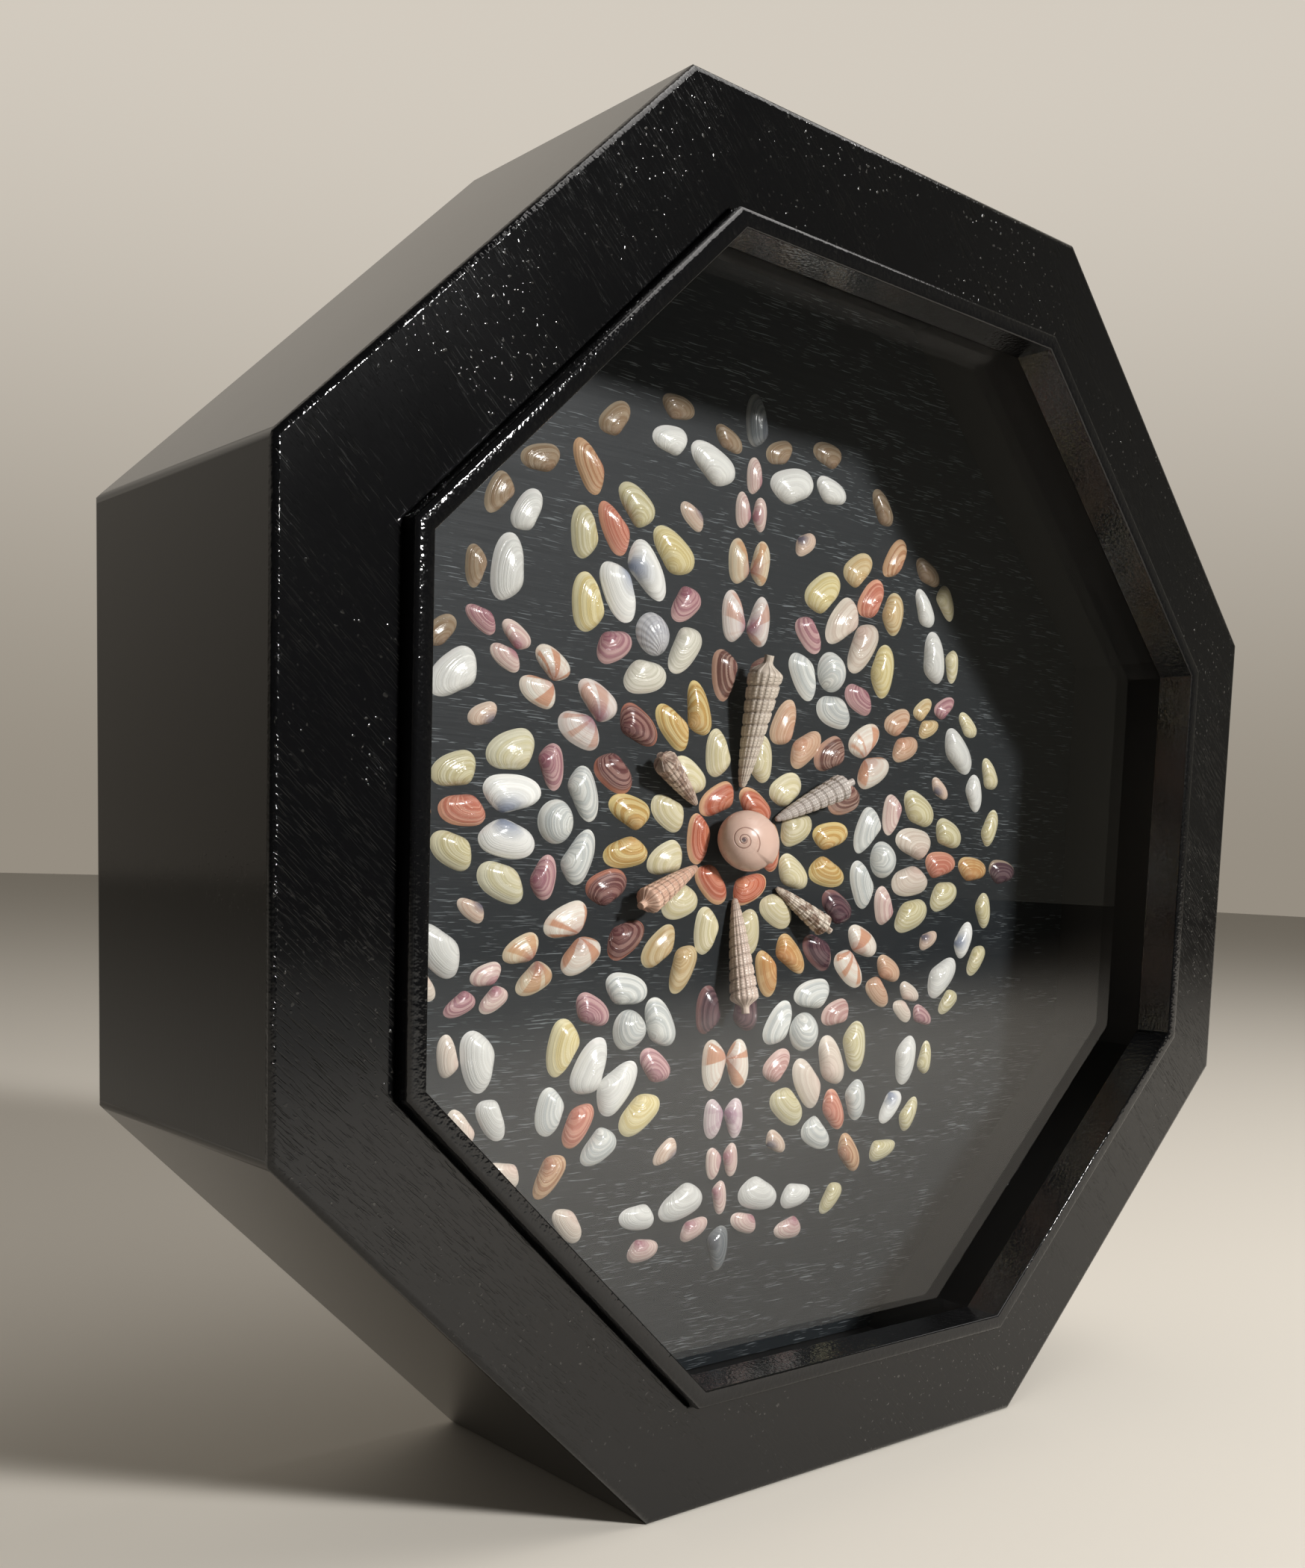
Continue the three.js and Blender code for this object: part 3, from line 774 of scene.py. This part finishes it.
def buildAuger(name, finish, settings):
    direction, tip, end, girth, whorls, tone, mark, brownness = augers[name]
    length, radius = end - tip, girth / 2
    spire = bmesh.new()
    layers = {key: spire.verts.layers.float_color.new(key) for key in ("tone", "mark")}
    coilLayer = spire.verts.layers.float_vector.new("coil")
    brownLayer = spire.verts.layers.float.new("brownness")
    bmesh.ops.create_cone(spire, cap_ends=True, segments=settings["sides"], radius1=1, radius2=1, depth=1)
    lengthwise = [edge for edge in spire.edges if abs(edge.verts[0].co.z - edge.verts[1].co.z) > 0.5]
    bmesh.ops.subdivide_edges(spire, edges=lengthwise, cuts=settings["rings"])
    for vert in spire.verts:
        share = vert.co.z + 0.5
        turn = math.atan2(vert.co.y, vert.co.x)
        along = min(1, share / settings["spire"])
        swollen = settings["apex"] + (1 - settings["apex"]) * along ** settings["swell"]
        whorl = whorls * along ** (1 / settings["crowding"])
        within = (whorl - turn / (2 * math.pi)) % 1
        shoulder = min(1, within * 4) ** 0.6 * min(1, (1 - within) * 9) ** 0.5
        past = max(0, share - settings["spire"]) / (1 - settings["spire"])
        narrowing = 1 - settings["mouth"] * math.sin(math.pi / 2 * min(1, past / 0.65)) ** 2
        ribbing = settings["ribHeight"] * math.cos(settings["ribs"] * turn) * shoulder * (1 - past)
        girthHere = radius * swollen * (1 - settings["step"] * (1 - shoulder) + ribbing) * narrowing
        if share < 0.002:
            girthHere = radius * 0.03
        vert[coilLayer] = (math.cos(turn), math.sin(turn), whorl)
        vert[brownLayer] = brownness
        vert[layers["tone"]] = linear(*tone)
        vert[layers["mark"]] = linear(*mark)
        vert.co = (share * length, girthHere * math.cos(turn), girthHere * math.sin(turn))
    for face in spire.faces:
        face.smooth = len(face.verts) == 4
    bmesh.ops.recalc_face_normals(spire, faces=spire.faces[:])
    angle = math.radians(direction)
    x, y = onRosette(tip, 0, angle)
    tilt = Matrix.Rotation(-math.atan2(radius + settings["lift"], length), 4, "Y")
    rest = Matrix.Translation((0, 0, radius * settings["rest"]))
    bmesh.ops.transform(spire, verts=spire.verts[:], matrix=onBoard(x, y, angle)
                        @ Matrix.Diagonal((millimetre, millimetre, millimetre, 1)) @ rest @ tilt)
    makePiece(name + "_ribbed", spire, finish, [name])


augerFinish = makeAugerFinish(augerSettings)
for augerName in augers:
    buildAuger(augerName, augerFinish, augerSettings)
print("augers laid")


# moon snail
snailSettings = {
    "width": 18.4,
    "height": 13.5,
    "narrow": 0.87,
    "growth": 0.07,
    "turn": -15,
    "lip": -25,
    "across": -2.6,
    "up": -1.1,
    "apex": Vector((-0.64, -0.16, 0.75)),
    "lastSuture": 0.52,
    "coiling": 2.3,
    "lipSeam": 0.02,  # keeps the lip's step between two rows of points
    "sides": 96,
    "rings": 64,
    "streaks": 260.0,
    "relief": 0.0002,
    "tone": linear(216, 188, 174),
    "shade": linear(196, 160, 144),
    "line": linear(150, 112, 100),
    "eye": linear(104, 88, 90),
}


def makeSnailFinish(settings):
    shell = Finish("smoothMoonSnail", {"Specular IOR Level": 0.55})
    across, up, facing = shell.split(shell.attribute("coil", 1))
    reach = shell.maths("SQRT", across * across + up * up)
    turn = shell.maths("FRACT", shell.maths("ARCTAN2", up, across) / (2 * math.pi))
    inward = shell.maths("LOGARITHM", reach / settings["lastSuture"], settings["coiling"]) + turn
    whorl = shell.maths("FRACT", inward)
    beside = shell.maths("MINIMUM", whorl, 1.0 - whorl) * reach
    front = shell.step(facing, 0.0, 0.2)
    inside = (1.0 - shell.step(inward, 0.1, 0.2)) * front
    suture = (1.0 - shell.step(beside, 0.006, 0.034)) * inside
    # painted shade: each whorl darkens across its width towards a suture
    whorlShade = shell.step(whorl, 0.4, 1.0) * inside
    streaks = shell.noise(shell.place(), settings["streaks"], 3.0)
    growth = shell.ripple(turn * 60.0, 2.0)
    colour = shell.mix(0.5 * streaks + 0.3 * growth, settings["tone"], settings["shade"])
    colour = shell.mix(whorlShade * 0.35, colour, settings["shade"])
    colour = shell.mix(suture * 0.8, colour, settings["line"])
    eye = (1.0 - shell.step(reach, 0.03, 0.11)) * front
    colour = shell.mix(eye, colour, settings["eye"])
    return shell.finishWith(Base_Color=colour, Roughness=0.22 + 0.15 * streaks,
                            Normal=shell.bump(0.2 * streaks - suture, settings["relief"], 0.6))


def buildSnail(settings):
    snail = bmesh.new()
    coilLayer = snail.verts.layers.float_vector.new("coil")
    bmesh.ops.create_uvsphere(snail, u_segments=settings["sides"], v_segments=settings["rings"], radius=1)
    leaning = Vector((0, 0, 1)).rotation_difference(settings["apex"].normalized()).to_matrix()
    leaning = leaning @ Matrix.Rotation(math.radians(settings["lip"]), 3, "Z")
    for vert in snail.verts:
        reach = math.hypot(vert.co.x, vert.co.y)
        turn = math.atan2(vert.co.y, vert.co.x)
        around = 1 - ((turn + settings["lipSeam"]) / (2 * math.pi)) % 1
        swell = 1 - settings["growth"] * (1 - around) * reach ** 3
        vert[coilLayer] = vert.co.copy()
        point = leaning @ (vert.co * swell)
        vert.co = (point.x * settings["width"] / 2, point.y * settings["width"] / 2 * settings["narrow"],
                   (point.z + 1) * settings["height"] / 2)
    for face in snail.faces:
        face.smooth = True
    bmesh.ops.transform(snail, verts=snail.verts[:], matrix=onBoard(
        settings["across"], settings["up"], math.radians(settings["turn"]))
        @ Matrix.Diagonal((millimetre, millimetre, millimetre, 1)))
    makePiece("moonSnail", snail, makeSnailFinish(settings), ["moon_snail"])


buildSnail(snailSettings)
print("snail laid")


# floor and light
stageSettings = {
    "floorSize": 12.0,
    "floor": linear(214, 208, 198),
    "backdrop": linear(216, 208, 196),
    "horizon": linear(150, 142, 130),
    "backdropStrength": 0.95,
    "room": linear(46, 47, 46),
    "brightSide": linear(128, 124, 112),
    "brightSideFrom": (0.45, 0.95),  # how far to the right it begins and is full
    "backdropFrom": (-0.15, 0.55),  # how far behind, in the same way
    "horizonTo": 0.45,
    "fill": 0.7,  # how bright the room is as light, beside what the camera sees
    # painted shade: the floor's colour darkens in front, as the light falls off, and at the left, in the
    # case's shadow
    "shadedFloor": linear(74, 74, 70),
    "lightFalloffInFront": (0.2, 0.75),  # metres before the piece
    "shadowAtLeft": (0.1, 0.45),
    "lights": [  # name, place, size, power, colour
        ("keyLight", (0.38, -1.5, 0.86), 0.20, 38.0, (1.0, 0.99, 0.97)),
        ("softTop", (0.6, -0.5, 1.7), 1.2, 13.0, (1.0, 0.97, 0.94)),
    ],
}


def setWorld(settings):  # a pale backdrop behind the piece and a dim room before it
    world = bpy.data.worlds.new("softRoom")
    world.use_nodes = True
    sky = Nodes(world.node_tree)
    across, depth, up = sky.split(sky.node("ShaderNodeTexCoord"))
    seen = sky.node("ShaderNodeLightPath")  # 1 for what the camera sees itself
    aside = sky.step(across, *settings["brightSideFrom"])
    room = sky.mix(aside, settings["room"], settings["brightSide"])
    backdrop = [part * settings["backdropStrength"] for part in settings["backdrop"][:3]] + [1]
    sweep = sky.mix(sky.step(up, 0.0, settings["horizonTo"]), settings["horizon"], backdrop)
    behind = sky.maths("MAXIMUM", sky.step(depth, *settings["backdropFrom"]), seen)
    background = world.node_tree.nodes["Background"]
    sky.feed(background.inputs["Color"], sky.mix(behind, room, sweep))
    sky.feed(background.inputs["Strength"], settings["fill"] + (1 - settings["fill"]) * seen)
    bpy.context.scene.world = world
    bpy.context.scene.view_settings.view_transform = "Standard"


def setStage(settings):
    sheet = bmesh.new()
    bmesh.ops.create_grid(sheet, x_segments=1, y_segments=1, size=settings["floorSize"] / 2)
    mesh = bpy.data.meshes.new("paleFloor")
    sheet.to_mesh(mesh)
    sheet.free()
    floor = bpy.data.objects.new("paleFloor", mesh)
    bpy.context.scene.collection.objects.link(floor)
    finish = Finish("paleFloor", {"Roughness": 0.8})
    across, depth, _ = finish.split(finish.place())
    # painted shade: darker away in front as the light falls off, and at the left where the case's shadow
    # falls
    inFront = finish.step(0.0 - depth - 0.5 * across, *settings["lightFalloffInFront"])
    atLeft = finish.step(0.0 - across, *settings["shadowAtLeft"])
    paintedFloorShade = inFront + (1.0 - inFront) * 0.35 * atLeft
    finish.finishWith(Base_Color=finish.mix(paintedFloorShade, settings["floor"], settings["shadedFloor"]))
    mesh.materials.append(finish.material)
    setWorld(settings)
    for name, place, size, power, colour in settings["lights"]:
        light = bpy.data.lights.new(name, "AREA")
        light.shape = "SQUARE"
        light.size = size
        light.energy = power
        light.color = colour
        lamp = bpy.data.objects.new(name, light)
        lamp.location = place
        aim = Vector((0, 0, axisHeight)) - Vector(place)
        lamp.rotation_euler = aim.to_track_quat("-Z", "Y").to_euler()
        bpy.context.scene.collection.objects.link(lamp)


setStage(stageSettings)
print("floor and light set")
